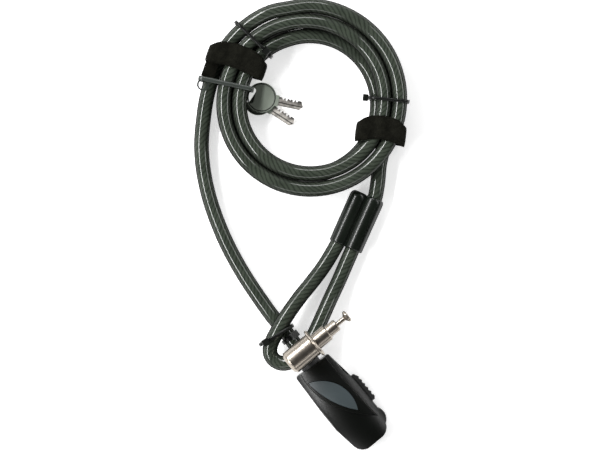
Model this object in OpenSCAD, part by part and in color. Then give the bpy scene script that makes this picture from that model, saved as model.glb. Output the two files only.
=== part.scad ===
// Keyed cable lock: a moulded lock on one end of a coiled steel cable, a closed
// eye on the other end, and a separate nickelled locking pin. Millimetres.
// The lock lies on its back on the surface z = 0. Its length runs along Y, the
// cable leaves it along +Y, the keyway faces +X and the moulded front faces +Z.

/* [Housing] */
// Length of the lock housing
body_len = 81; // [79:1:86]
// Height of the housing at its crown
body_h = 24; // [23:0.5:27]
// Height of the parting plane, and of the cable, socket and cylinder axes
axis_z = 10; // [9.8:0.1:11]
// Thinnest wall under the lock core
floor_wall = 1.8; // [1.2:0.1:2]
// Crown radius across the housing
crown_r = 50; // [45:1:70]
// Crown radius along the housing
crown_len_r = 160; // [150:5:220]
// Crown radius across the lower surface beside the raised panel
low_crown_r = 36; // [34:1:45]
// Height of the raised front panel above the surface beside it
front_step = 1.1; // [0.6:0.1:1.4]
// Clearance between fixed pieces
fit_gap = 0.15; // [0.1:0.01:0.2]
// Clearance round moving pieces
run_gap = 0.3; // [0.25:0.01:0.35]

/* [Grip inlay] */
// Sagitta of the inlay's shallow side
leaf_shallow = 3.5; // [2.5:0.1:5]
// Sagitta of the inlay's full side
leaf_full = 10.5; // [8:0.5:11]
// Depth of the inlay's pocket
leaf_depth = 3; // [2:0.1:4]
// Height of the inlay above the front surface
leaf_proud = 0.4; // [0.2:0.1:1]

/* [Keyway cover] */
// Length of the sliding cover
cover_len = 26; // [22:0.5:28]
// Height of the cover's grip across the thickness of the lock
cover_h = 11.2; // [9:0.1:12]
// Distance from the rail plate to the cover's outer face
cover_t = 6.6; // [5:0.1:8]
// Travel of the cover from closed to open
cover_travel = 14; // [10:0.5:15]
// Radius of the cover's finger grooves
groove_r = 1.6; // [1:0.1:2.2]
// Number of finger grooves
groove_count = 5; // [3:1:6]
// Thickness of the rail plate
plate_t = 1; // [0.8:0.1:1.2]

/* [Cylinder and latch] */
// Radius of the key cylinder
plug_r = 5; // [4.5:0.1:5.3]
// Radial running clearance of the key cylinder
plug_gap = 0.06; // [0.03:0.01:0.1]
// Number of wafers in the cylinder
wafer_count = 5; // [3:1:5]
// Crank radius of the cylinder cam
crank_r = 2.3; // [2:0.1:2.5]
// Radius of the crank pin
crank_pin_r = 1.2; // [1:0.1:1.3]
// Thickness of the latch plate
latch_t = 3; // [2:0.1:3.5]

/* [Socket] */
// Radius of the socket bore that takes the locking pin's tip
socket_r = 5.2; // [5.1:0.05:5.5]
// Depth of the socket bore in its steel bush
bush_len = 8; // [7:0.5:8]
// Outer radius of the steel bush
bush_r = 6.8; // [6.6:0.1:7]

/* [Locking pin] */
// Radius of the pin's barrel
barrel_r = 9.75; // [9:0.05:10]
// Length of the pin's barrel
barrel_len = 25.5; // [22:0.5:27]
// Radius of the pin's flange
flange_r = 12.5; // [11:0.1:12.8]
// Thickness of the pin's flange
flange_t = 2.6; // [2:0.1:3]
// Radius of the shank that carries the cable eye
shank_r = 6.7; // [6.3:0.1:7.5]
// Length of the shank
shank_len = 12.7; // [11:0.1:14]
// Radius of the pin's tip
tip_r = 5; // [4.4:0.05:5.1]
// Length of the pin's tip
tip_len = 9.3; // [8:0.1:10]
// Radius of the neck that the latch catches
neck_r = 1.9; // [1.7:0.1:2.1]
// Length of the neck
neck_len = 7.2; // [6.8:0.1:8]
// Radius of the mushroom head
head_r = 5; // [4.4:0.1:5]
// Thickness of the mushroom head
head_t = 4.2; // [3.6:0.1:4.5]

/* [Cable] */
// Outer diameter of the cable
cable_d = 12; // [11.6:0.1:12]
// Turns in the coil
coil_turns = 3.306; // [3.2:0.001:3.4]
// Radius of the coil where the cable joins it
coil_r = 76.5; // [76.3:0.1:77]
// Distance between neighbouring loops and layers
coil_pitch = 12.45; // [12.4:0.01:12.6]

/* [Eye sleeve] */
// Length of the double-barrelled sleeve
sleeve_len = 45; // [40:1:46]
// Radius of each barrel of the sleeve
sleeve_r = 7.3; // [7:0.1:7.5]
// Distance from the sleeve's axis to each barrel's axis
sleeve_off = 6.4; // [6.2:0.05:6.6]

/* [Straps and ties] */
// Width of the hook-and-loop straps
strap_w = 19; // [16:0.5:20]
// Thickness of the straps
strap_t = 1.7; // [1.2:0.1:1.7]
// Width of the thin cable ties
tie_w = 2.6; // [2:0.1:3.6]
// Thickness of the cable ties
tie_t = 1.2; // [1:0.1:1.4]
// Width of the wider tie that holds the keys
key_tie_w = 3.6; // [3:0.1:4]

/* [Keys] */
// Radius of a key's moulded bow
bow_r = 12; // [10:0.1:12]
// Thickness of a key's moulded bow
bow_t = 2.8; // [2.6:0.1:2.9]
// Length of a key from its bow's centre to its tip
key_len = 34; // [30:0.5:36]
// Width of a key's blade
blade_w = 7; // [6:0.1:7.6]
// Thickness of a key's blade
blade_t = 1.8; // [1.6:0.1:2]

/* [Hidden] */
$fn = 48;

cable_r = cable_d / 2;
top_y = body_len / 2;

// Housing outline: one circle per corner, as [x, y, radius], y from the centre
corners = [
    [-14, top_y - 1.9, 2.2],
    [14.2, top_y - 3.4, 2.2],
    [-8, 8, 10],
    [-8.2, -12, 10],
    [9.7, 8, 10],
    [9.7, -18, 10],
    [-5.2, 10.4 - top_y, 10.4],
    [6.8, 10.2 - top_y, 10.2]
];
// Lower right shoulder, drawn as the outline is
shoulder = [
    [10.8, 15.5 - top_y, 10.4],
    [2, 14 - top_y, 8]
];
// Inset of the outline at each height, as [z, inset]
rear_levels = [[0, 2.4], [0.9, 1.1], [2.6, 0.3], [axis_z, 0]];
front_levels = [[axis_z, 0], [axis_z + 7, 0.5], [body_h - 3.4, 1.8], [body_h, 5]];
rear_shoulder = [[2, 1.6], [4.5, 0.4], [axis_z, 0]];
front_shoulder = [[axis_z, 0], [axis_z + 5, 0.4], [axis_z + 8, 2]];

// Grip inlay: a lens between two arcs that meet at its tips
leaf_top = [-10.9, 30.6];
leaf_end = [6.2, -10.6];
leaf_mid = (leaf_top + leaf_end) / 2;
leaf_chord = norm(leaf_end - leaf_top);
leaf_along = (leaf_end - leaf_top) / leaf_chord;
leaf_side = [-leaf_along[1], leaf_along[0]];
leaf_shallow_r = leaf_chord * leaf_chord / (8 * leaf_shallow) + leaf_shallow / 2;
leaf_full_r = leaf_chord * leaf_chord / (8 * leaf_full) + leaf_full / 2;
leaf_shallow_c = leaf_mid + leaf_side * (leaf_shallow_r - leaf_shallow);
leaf_full_c = leaf_mid - leaf_side * (leaf_full_r - leaf_full);
leaf_gap = 0.45;
leaf_floor = body_h - leaf_depth - 2.6;

// Raised panel: its left edge is a bevelled circle, its right edge a bevelled line
panel_c = [42.2, 23.8];
panel_r = 52;
panel_bevel = 0.5;
side_edge = [12.2, 6.5];
side_edge_a = 2.6;
side_bevel = 0.3;

// Socket bush, set back from the housing's end
bush_y = 1 - top_y;

// Lock core
core_half_w = 11.5;
core_low_y = 6.5 - top_y;
core_high_y = 20;
core_top = axis_z + 6.4;
core_floor = floor_wall + fit_gap;
neck_half_w = 9.6;
neck_high_y = top_y - 4.1;

// Rail plate and keyway cover
plate_x = 15.6;
rail_low_y = -13.3;
cover_low_y = rail_low_y + 2 * run_gap;
cover_x = plate_x + plate_t + run_gap;
lip_t = 1;
lip_h = cover_h + 2.4;
rail_x = cover_x + lip_t + run_gap;
rail_h = lip_h + 2 * run_gap;
rail_high_y = cover_low_y + cover_len + cover_travel + 2 * run_gap;
cover_slot_h = cover_h + 2 * run_gap;

// Key cylinder, cam and latch
plug_y = cover_low_y + 7.2;
plug_face_x = plate_x + plate_t - 0.1;
plug_back_x = -2.2;
cam_t = 2.2;
cam_face_x = plug_back_x - cam_t;
clip_groove_r = plug_r - 1;
clip_t = 1;
clip_r = plug_r + 2;
keyway_w = 2.4;
keyway_h = 7.8;
wafer_w = 4.2;
wafer_h = 2 * plug_r - 1.6;
wafer_t = 0.9;
wafer_pitch = 2.2;
latch_travel = crank_r * sqrt(2);
arm_x = cam_face_x - 1.2;
arm_t = 2.6;
arm_h = 2 * (crank_pin_r + run_gap + 1.4);
arm_z = axis_z + latch_travel / 2;
latch_y = bush_y + tip_len + 1.7;
latch_hole_r = head_r + 0.5;
latch_half_w = latch_hole_r + 2.7;
latch_hole_z = axis_z + latch_travel;
latch_low_z = latch_hole_z - latch_hole_r - 2.4;
socket_end_y = bush_y + tip_len + neck_len + head_t + 0.6;
lug_y = plug_y - plug_r - 4.8;
lug_w = 4;
lug_z = arm_z + 1.4;
lug_t = 1.8;
spring_r = 1.7;
spring_x = arm_x + 2.1;

// Cable end
collar_r = 8.4;
collar_out = 3;
ferrule_r = 6.8;
ferrule_len = 13.5;
exit_y = top_y + collar_out;
anchor_r = 1.5;
anchor_y = neck_high_y - 7.4;

// Housing screws, as [x, y]
screw_points = [[-13, top_y - 10], [13, top_y - 9], [-9.3, 7.3 - top_y], [9.5, 6.9 - top_y]];
screw_r = 1.2;
screw_head_r = 2.4;
screw_head_t = 1.8;
screw_top = axis_z + 4.5;

// Coil, piled in two layers: the upper one spirals in and the lower one out again
coil_c = [132.7, 204.2];
coil_start_a = 50.3;
coil_low_z = strap_t + run_gap + cable_r;
coil_sides = 6;
coil_steps = 24;
coil_end_in = 7.4;
coil_turn_back = (coil_turns + coil_end_in / coil_pitch) / 2;
tube_sides = 10;

// Route of the cable from the lock to the coil; it climbs to the upper layer as it joins
lead_mid = [
    [0, 54, 9.6], [0.8, 65, 8.5], [1.3, 76, coil_low_z], [0.9, 88.6, coil_low_z],
    [2.1, 106.4, coil_low_z], [4.4, 128.3, coil_low_z], [8.4, 151.1, coil_low_z],
    [14.1, 172.3, coil_low_z], [22, 193.8, coil_low_z], [32, 213.6, coil_low_z],
    [44.3, 231.4, coil_low_z], [58.2, 245.9, coil_low_z], [73.3, 259.3, coil_low_z]
];
climb_turns = 0.2;
lead_climb = [-climb_turns : climb_turns / 8 : -climb_turns / 4];
// Route from the coil down to the right barrel of the sleeve
tail_mid = [[151.3, 133.9, coil_low_z], [144.2, 128.4, coil_low_z], [135.2, 119.2, 7.9]];
// Route of the eye from the right barrel of the sleeve round to its left barrel
eye_mid = [
    [73, 84.6, 8], [60, 78, 8.6], [45, 71, 11], [27, 62.2, 15.8], [14.5, 56.6, 18.8],
    [0, 53.4, 22], [-11, 53, 20.6], [-18.2, 57.4, 18.6], [-20.6, 65.4, 17.8],
    [-16.4, 72.6, 18.6], [-7, 77.2, 20.4], [4.5, 81.6, 20.9], [25, 87.4, 17], [45, 91.4, 12],
    [61, 95.4, 9]
];
eye_top_z = 22;

// Eye sleeve
sleeve_c = [101.7, 105.9, 7.8];
sleeve_a = 26.1;
sleeve_dir = [cos(sleeve_a), sin(sleeve_a), 0];
sleeve_right = [sin(sleeve_a), -cos(sleeve_a), 0];
crimp_r = 5.2;
crimp_len = sleeve_len - 13;
sleeve_edge = 0.9;

// Locking pin, lying along X across the cable
pin_y = exit_y + 9.6;
pin_z = eye_top_z + cable_r + run_gap + barrel_r;
barrel_x = -12.9;
flange_x = barrel_x + barrel_len;
shank_x = flange_x + flange_t;
tip_x = shank_x + shank_len;
neck_x = tip_x + tip_len;
head_x = neck_x + neck_len;
spigot_r = 4;
spigot_len = 12;
edge = 0.9;
rounding = 1.2;

// Bands round the cable: [angle of the band, its offset along the coil, inner start, inner end]
wrap_low_z = coil_low_z - cable_r - run_gap;
wrap_high_z = coil_low_z + coil_pitch + cable_r + run_gap;
left_wrap = [120.8, -12.7, 41.6, 87];
right_wrap = [-46.6, -16.2, 42.4, 79.4];
top_wrap = [96, -5.1, 46.2, 85];
right_tie_wrap = [-45.5, 7.7, 48.7, 79.6];
key_wrap = [128.2, 0, 45.6, 88];
key_loop_r = 4.8;
key_loop_z = wrap_high_z - 6;
// Loose end of the left strap: [least, greatest] along the band and along the coil
flap_x = [left_wrap[3] - 10, left_wrap[3] + 0.5];
flap_y = [strap_w / 2 - 4, strap_w / 2 + 12];
flap_z = coil_low_z + cable_r + 2;
band_r = 5;
key_band_r = 2;
crossing_c = [-6, 76.7];
crossing_a = -9;
crossing_half = 14.7;
lead_tie_c = [0.9, 68, 8.4];
lead_tie_turn = 28;
// Head of a tie: [along the tie, across it, height], and how far it is moulded into the tie
tie_head = [6, 5.4, 4.4];
head_sink = 0.2;
side_head_z = coil_low_z + cable_r;

// Keys: both hang on the tie, one above the other
key_post = key_wrap[2] - tie_t / 2;
key_pivot = coil_c + key_post * [cos(key_wrap[0]), sin(key_wrap[0])];
key_hole = [-8, 4.2];
key_hole_w = 5;
key_hole_l = 13;
rear_key_a = -73;
front_key_a = -51.8;
rear_key_z = wrap_low_z + 0.1;
front_key_z = rear_key_z + bow_t + run_gap;
blade_root = 4;
key_cuts = [1.4, 2.2, 0.9, 1.8, 1.2];

// ---------------------------------------------------------------- helpers

// Convex form through circles at several heights
module lofted(circles, levels) {
    hull()
        for (level = levels)
            for (c = circles)
                translate([c[0], c[1], min(level[0], levels[len(levels) - 1][0] - 0.02)])
                    cylinder(r = max(c[2] - level[1], 0.3), h = 0.02, $fn = 32);
}

// Doubly curved crown of radius r across the housing, lowered by drop
module crown(r, drop) {
    translate([0, 0, body_h - crown_len_r])
        rotate([0, 90, 0])
            rotate([0, 0, 150])
                rotate_extrude(angle = 60, $fn = 360)
                    translate([crown_len_r - r, 0])
                        intersection() {
                            circle(r = r - drop, $fn = 240);
                            translate([0, -r])
                                square([r + 1, 2 * r]);
                        }
}

// Space of the raised panel, inside a cone and left of a slanted plane
module panel_space() {
    high = body_h + 1;
    reach = 1.5 * body_len;
    intersection() {
        translate([panel_c[0], panel_c[1], 0])
            cylinder(r1 = panel_r + panel_bevel * body_h, r2 = panel_r - panel_bevel, h = high, $fn = 180);
        translate([side_edge[0], side_edge[1], 0])
            rotate([0, 0, side_edge_a])
                rotate([90, 0, 0])
                    translate([0, 0, -reach])
                        linear_extrude(2 * reach)
                            polygon([[-reach, 0], [side_bevel * body_h, 0],
                                [-side_bevel, high], [-reach, high]]);
    }
}

module leaf_prism(grow, z_low, z_high) {
    translate([0, 0, z_low])
        linear_extrude(z_high - z_low)
            intersection() {
                translate(leaf_shallow_c)
                    circle(r = leaf_shallow_r + grow, $fn = 180);
                translate(leaf_full_c)
                    circle(r = leaf_full_r + grow, $fn = 120);
            }
}

module along_y(y, r, len) {
    translate([0, y, axis_z])
        rotate([-90, 0, 0])
            cylinder(r = r, h = len);
}

module along_x(x, y, z, r, len) {
    translate([x, y, z])
        rotate([0, 90, 0])
            cylinder(r = r, h = len);
}

module box(low, high) {
    translate(low)
        cube(high - low);
}

// Round profile turned about the X axis; points are [x, radius]
module turned_x(points) {
    rotate([90, 0, 90])
        rotate_extrude($fn = 64)
            polygon([for (p = points) [p[1], p[0]]]);
}

// Rounded rectangle from plain squares and circles
module rounded_rect(low, high, r) {
    translate([low[0] + r, low[1]])
        square([high[0] - low[0] - 2 * r, high[1] - low[1]]);
    translate([low[0], low[1] + r])
        square([high[0] - low[0], high[1] - low[1] - 2 * r]);
    for (x = [low[0] + r, high[0] - r])
        for (y = [low[1] + r, high[1] - r])
            translate([x, y])
                circle(r = r);
}

// Closed band in the plane of its own X and the Z axis, from x0 to x1 inside
module band(x0, x1, t, w, r) {
    translate([0, w / 2, 0])
        rotate([90, 0, 0])
            linear_extrude(w)
                difference() {
                    rounded_rect([x0 - t, wrap_low_z - t], [x1 + t, wrap_high_z + t], r + t);
                    rounded_rect([x0, wrap_low_z], [x1, wrap_high_z], r);
                }
}

// Places its children on a band of the coil: X runs outwards from the coil's centre
module on_coil(wrap) {
    translate([coil_c[0], coil_c[1], 0])
        rotate([0, 0, wrap[0]])
            translate([0, wrap[1], 0])
                children();
}

module tie_lock(x) {
    translate([x - tie_head[0] / 2, -tie_head[1] / 2, wrap_high_z + tie_t - head_sink])
        cube(tie_head);
}

// ---------------------------------------------------------------- cable routes

function unit(v) = v / norm(v);
function curve_point(p, i, u) =
    let (a = p[max(i - 1, 0)], b = p[i], c = p[i + 1], d = p[min(i + 2, len(p) - 1)])
    0.5 * (2 * b + (c - a) * u + (2 * a - 5 * b + 4 * c - d) * u * u
        + (3 * b - a - 3 * c + d) * u * u * u);
function smooth_path(p, parts) = concat(
    [for (i = [0 : len(p) - 2]) for (k = [0 : parts - 1]) curve_point(p, i, k / parts)],
    [p[len(p) - 1]]
);
function heading(p, i, first, last) =
    i == 0 ? first : i == len(p) - 1 ? last : unit(p[i + 1] - p[i - 1]);
function ring(centre, dir, r, sides) =
    let (side = unit(cross(dir, [0, 0, 1])), up = cross(side, dir))
    [for (k = [0 : sides - 1])
        centre + r * (cos(360 * k / sides) * side + sin(360 * k / sides) * up)];

// One closed tube of triangles along a path
module tube(p, r, sides, first, last) {
    rings = [for (i = [0 : len(p) - 1]) ring(p[i], heading(p, i, first, last), r, sides)];
    points = [for (loop = rings) for (q = loop) q];
    n = len(p);
    walls = [for (i = [0 : n - 2]) for (k = [0 : sides - 1])
        let (a = i * sides + k, b = i * sides + (k + 1) % sides)
        each [[a, b, b + sides], [a, b + sides, a + sides]]];
    low_cap = [for (k = [1 : sides - 2]) [0, k + 1, k]];
    high_cap = [for (k = [1 : sides - 2]) (n - 1) * sides * [1, 1, 1] + [0, k, k + 1]];
    polyhedron(points, concat(walls, low_cap, high_cap), convexity = 8);
}

function ease(u) = let (v = min(max(u, 0), 1)) v * v * (3 - 2 * v);
function coil_radius(t) = coil_r - coil_pitch * (t < coil_turn_back ? t : 2 * coil_turn_back - t);
function coil_point(t) =
    let (a = coil_start_a - 360 * t, r = coil_radius(t))
    [coil_c[0] + r * cos(a), coil_c[1] + r * sin(a),
        coil_low_z + coil_pitch * ease(0.5 - 2 * (t - coil_turn_back))];
function lead_rise(t) =
    let (p = coil_point(t))
    [p[0], p[1], coil_low_z + coil_pitch * ease(1.15 + t / climb_turns)];
function coil_heading(t) =
    let (a = coil_start_a - 360 * t)
    [sin(a), -cos(a), 0];

coil_rings = floor(coil_turns * coil_steps);
coil_loops = concat([for (i = [0 : coil_rings - 1]) coil_point(i / coil_steps)],
    [coil_point(coil_turns)]);
coil_start = coil_point(0) - cable_d * coil_heading(0);
coil_end = coil_point(coil_turns) + cable_d * coil_heading(coil_turns);
coil_path = concat([coil_start], coil_loops, [coil_end]);
coil_gap = min([for (i = [0 : len(coil_path) - 1])
    for (k = [i + coil_steps / 2 : 1 : len(coil_path) - 1])
        norm(coil_path[i] - coil_path[k])]) - cable_d;
echo(least_gap_in_coil = coil_gap);

barrel_shift = sleeve_off * sleeve_right;
sleeve_half = sleeve_len / 2 * sleeve_dir;
lead_path = concat([[0, exit_y, axis_z]], lead_mid, [for (t = lead_climb) lead_rise(t)], [coil_start]);
tail_path = concat([coil_end], tail_mid, [sleeve_c + sleeve_half + barrel_shift]);
eye_path = smooth_path(concat([sleeve_c - sleeve_half + barrel_shift], eye_mid,
    [sleeve_c - sleeve_half - barrel_shift]), 2);

// ---------------------------------------------------------------- lock housing

module core_block(grow) {
    low = core_floor - grow;
    box([-core_half_w - grow, core_low_y - grow, low],
        [core_half_w + grow, core_high_y + grow, core_top + grow]);
    box([-neck_half_w - grow, core_high_y - grow, low],
        [neck_half_w + grow, neck_high_y + grow, core_top + grow]);
}

module housing_cuts() {
    core_block(fit_gap);
    // Cable collar and its ferrule
    along_y(neck_high_y - 0.1, collar_r - 1.2 + fit_gap, 2);
    along_y(neck_high_y + 1.5, collar_r + fit_gap, 5);
    along_y(neck_high_y - ferrule_len, ferrule_r + fit_gap, ferrule_len);
    // Steel bush of the socket
    along_y(bush_y - 10, bush_r + fit_gap, bush_len + 10 + fit_gap);
    // Cylinder face and its retaining clip
    along_x(core_half_w, plug_y, axis_z, plug_r + run_gap, 6);
    along_x(core_half_w - 0.1, plug_y, axis_z, clip_r + fit_gap, clip_t + 0.3);
    // Rail for the keyway cover
    box([plate_x - 0.05, rail_low_y, axis_z - rail_h / 2], [rail_x, rail_high_y, axis_z + rail_h / 2]);
    box([rail_x - 0.1, rail_low_y, axis_z - cover_slot_h / 2],
        [rail_x + 15, rail_high_y, axis_z + cover_slot_h / 2]);
    // Screw holes
    for (p = screw_points)
        translate([p[0], p[1], -1]) {
            cylinder(r = screw_r + 0.02, h = screw_top + 1.2);
            cylinder(r = screw_head_r + fit_gap, h = screw_head_t + 1.1);
        }
}

module front_shell() {
    color([0.09, 0.1, 0.1])
        difference() {
            intersection() {
                union() {
                    lofted(corners, front_levels);
                    lofted(shoulder, front_shoulder);
                }
                union() {
                    crown(low_crown_r, front_step);
                    intersection() {
                        crown(crown_r, 0);
                        panel_space();
                    }
                }
            }
            leaf_prism(leaf_gap, leaf_floor, body_h + 2);
            housing_cuts();
        }
}

module rear_shell() {
    color([0.08, 0.09, 0.09])
        difference() {
            union() {
                lofted(corners, rear_levels);
                lofted(shoulder, rear_shoulder);
            }
            housing_cuts();
        }
}

module grip_inlay() {
    color([0.38, 0.43, 0.47])
        intersection() {
            leaf_prism(0, leaf_floor + 0.05, body_h + 2);
            crown(crown_r, -leaf_proud);
        }
}

module lock_core() {
    color([0.6, 0.6, 0.58])
        difference() {
            core_block(0);
            // Key cylinder and cam
            along_x(cam_face_x - 0.4, plug_y, axis_z, plug_r + plug_gap, 30);
            along_x(arm_x - arm_t / 2, plug_y, axis_z, crank_r + crank_pin_r + run_gap, 8);
            // Channel of the latch slide
            box([arm_x - arm_t - run_gap, latch_y - run_gap, floor_wall],
                [arm_x + run_gap, plug_y + crank_r, core_top + 1]);
            box([-latch_half_w - run_gap, latch_y - run_gap, floor_wall - 1],
                [latch_half_w + run_gap, latch_y + latch_t + run_gap, core_top + 1]);
            // Lug and spring
            box([arm_x - 0.1, lug_y - lug_w / 2 - run_gap, core_floor + 0.6],
                [arm_x + lug_w + 2 * run_gap, lug_y + lug_w / 2 + run_gap, core_top + 1]);
            // Socket and its bush
            along_y(bush_y - 1, bush_r + fit_gap, bush_len + 1 + fit_gap);
            along_y(core_low_y, socket_r + 0.2, socket_end_y - core_low_y);
            // Cable ferrule and its cross pin
            along_y(neck_high_y - ferrule_len, ferrule_r + 0.05, ferrule_len + 1);
            along_x(-neck_half_w - 1, anchor_y, axis_z, anchor_r + 0.02, 2 * neck_half_w + 2);
            // Notches beside the housing screws
            for (p = screw_points)
                translate([p[0], p[1], 0])
                    cylinder(r = screw_r + run_gap, h = body_h);
        }
}

module socket_bush() {
    color([0.72, 0.72, 0.72])
        difference() {
            along_y(bush_y, bush_r, bush_len);
            along_y(bush_y - 0.5, socket_r, bush_len + 1);
        }
}

module housing_screws() {
    color([0.7, 0.7, 0.7])
        for (p = screw_points)
            translate([p[0], p[1], 0]) {
                cylinder(r = screw_r, h = screw_top);
                difference() {
                    translate([0, 0, 0.3])
                        cylinder(r = screw_head_r, h = screw_head_t - 0.3);
                    for (a = [0, 90])
                        rotate([0, 0, a])
                            translate([-1.5, -0.3, -0.1])
                                cube([3, 0.6, 1.2]);
                }
            }
}

module cable_collar() {
    color([0.05, 0.05, 0.05]) {
        along_y(neck_high_y + 1.7, collar_r, exit_y - neck_high_y - 2.9);
        along_y(neck_high_y + 0.1, collar_r - 1.2, exit_y - neck_high_y - 0.1);
    }
}

module cable_ferrule() {
    color([0.7, 0.7, 0.68])
        difference() {
            along_y(neck_high_y - ferrule_len + 0.1, ferrule_r, ferrule_len - 0.1);
            along_x(-20, anchor_y, axis_z, anchor_r + 0.02, 40);
        }
}

module anchor_pin() {
    color([0.75, 0.75, 0.75])
        along_x(-neck_half_w, anchor_y, axis_z, anchor_r, 2 * neck_half_w);
}

module rail_plate() {
    color([0.75, 0.75, 0.74])
        difference() {
            box([plate_x, rail_low_y + 0.1, axis_z - rail_h / 2 + 0.1],
                [plate_x + plate_t, rail_high_y - 0.1, axis_z + rail_h / 2 - 0.1]);
            along_x(plate_x - 1, plug_y, axis_z, plug_r + run_gap / 2, 4);
        }
}

// ---------------------------------------------------------------- keyway cover

module keyway_cover() {
    color([0.06, 0.06, 0.06]) {
        box([cover_x, cover_low_y, axis_z - lip_h / 2],
            [cover_x + lip_t, cover_low_y + cover_len, axis_z + lip_h / 2]);
        difference() {
            translate([cover_x, cover_low_y, axis_z - cover_h / 2])
                linear_extrude(cover_h)
                    polygon([[0, 0], [cover_t - 1.4, 0], [cover_t, 1.8],
                        [cover_t, cover_len - 4.5], [cover_t - 2.2, cover_len], [0, cover_len]]);
            for (i = [0 : groove_count - 1])
                translate([cover_x + cover_t + groove_r * 0.45, 0, axis_z - cover_h])
                    translate([0, cover_low_y + cover_len * (i + 1.1) / (groove_count + 1.6), 0])
                        cylinder(r = groove_r, h = 2 * cover_h);
        }
    }
}

// ---------------------------------------------------------------- cylinder and latch

module key_cylinder() {
    color([0.78, 0.7, 0.5])
        difference() {
            union() {
                along_x(plug_back_x, plug_y, axis_z, plug_r, core_half_w - 0.1 - plug_back_x);
                along_x(plug_back_x, plug_y, axis_z, clip_groove_r, plug_face_x - plug_back_x);
                along_x(core_half_w + clip_t + 0.2, plug_y, axis_z, plug_r,
                    plug_face_x - core_half_w - clip_t - 0.2);
            }
            box([0, plug_y - keyway_w / 2, axis_z - keyway_h / 2],
                [plug_face_x + 1, plug_y + keyway_w / 2, axis_z + keyway_h / 2]);
            for (i = [0 : wafer_count - 1])
                box([wafer_x(i) - 0.1, plug_y - wafer_w / 2 - 0.1, axis_z - wafer_h / 2 - 0.1],
                    [wafer_x(i) + wafer_t + 0.1, plug_y + wafer_w / 2 + 0.1, axis_z + wafer_h / 2 + 0.1]);
        }
}

function wafer_x(i) = 0.4 + i * wafer_pitch;

module wafers() {
    color([0.85, 0.72, 0.4])
        for (i = [0 : wafer_count - 1])
            difference() {
                box([wafer_x(i), plug_y - wafer_w / 2, axis_z - wafer_h / 2],
                    [wafer_x(i) + wafer_t, plug_y + wafer_w / 2, axis_z + wafer_h / 2]);
                box([wafer_x(i) - 1, plug_y - keyway_w / 2, axis_z - wafer_h / 4 - i * 0.15],
                    [wafer_x(i) + 2, plug_y + keyway_w / 2, axis_z + wafer_h / 4 + i * 0.15]);
            }
}

module cylinder_cam() {
    color([0.65, 0.65, 0.66]) {
        along_x(cam_face_x, plug_y, axis_z, plug_r - 0.4, cam_t - 0.02);
        along_x(arm_x - arm_t, plug_y - crank_r / sqrt(2), axis_z + crank_r / sqrt(2),
            crank_pin_r, cam_face_x - arm_x + arm_t + 0.1);
    }
}

module cylinder_clip() {
    color([0.7, 0.7, 0.7])
        difference() {
            along_x(core_half_w + 0.05, plug_y, axis_z, clip_r, clip_t - 0.05);
            along_x(core_half_w - 1, plug_y, axis_z, clip_groove_r + plug_gap, 4);
            box([core_half_w - 1, plug_y - clip_groove_r, 0], [core_half_w + 4, plug_y + clip_groove_r, axis_z]);
        }
}

module latch_slide() {
    color([0.68, 0.69, 0.7]) {
        // Catch: a plate open at the top, whose lower edge stands behind the pin's head
        difference() {
            box([-latch_half_w, latch_y, latch_low_z], [latch_half_w, latch_y + latch_t, core_top - 0.4]);
            translate([0, latch_y - 1, latch_hole_z])
                rotate([-90, 0, 0])
                    cylinder(r = latch_hole_r, h = latch_t + 2);
            box([-latch_hole_r, latch_y - 1, latch_hole_z], [latch_hole_r, latch_y + latch_t + 1, core_top + 5]);
        }
        // Arm that the crank pin of the cam lifts and lowers
        difference() {
            box([arm_x - arm_t, latch_y + latch_t - 0.01, arm_z - arm_h / 2],
                [arm_x, plug_y, arm_z + arm_h / 2]);
            box([arm_x - arm_t - 1, plug_y - crank_r - crank_pin_r - run_gap,
                    axis_z + crank_r / sqrt(2) - crank_pin_r - run_gap],
                [arm_x + 1, plug_y + 1, axis_z + crank_r / sqrt(2) + crank_pin_r + run_gap]);
        }
        // Lug over the spring
        box([arm_x - 0.01, lug_y - lug_w / 2, lug_z], [arm_x + lug_w, lug_y + lug_w / 2, lug_z + lug_t]);
    }
}

module latch_spring() {
    color([0.8, 0.8, 0.8])
        translate([spring_x, lug_y, core_floor + 0.65])
            difference() {
                cylinder(r = spring_r, h = lug_z - core_floor - 0.7);
                translate([0, 0, -1])
                    cylinder(r = spring_r - 0.5, h = lug_z);
            }
}

// ---------------------------------------------------------------- locking pin

module pin_place() {
    translate([0, pin_y, pin_z])
        children();
}

module pin_barrel() {
    color([0.78, 0.74, 0.7])
        pin_place()
            turned_x([[barrel_x, 0], [barrel_x, barrel_r - 3.2], [barrel_x + 0.4, barrel_r - 2.3],
                [barrel_x + 2, barrel_r - 0.3], [barrel_x + 2.8, barrel_r],
                [flange_x - 0.4, barrel_r], [flange_x, barrel_r - 0.4],
                [flange_x, spigot_r], [flange_x - spigot_len, spigot_r], [flange_x - spigot_len, 0]]);
}

module pin_flange() {
    color([0.8, 0.73, 0.68])
        pin_place()
            turned_x([[flange_x, spigot_r], [flange_x, flange_r - rounding],
                [flange_x + rounding / 3, flange_r - rounding / 3], [flange_x + rounding, flange_r],
                [shank_x - rounding, flange_r], [shank_x - rounding / 3, flange_r - rounding / 3],
                [shank_x, flange_r - rounding], [shank_x, spigot_r]]);
}

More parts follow.
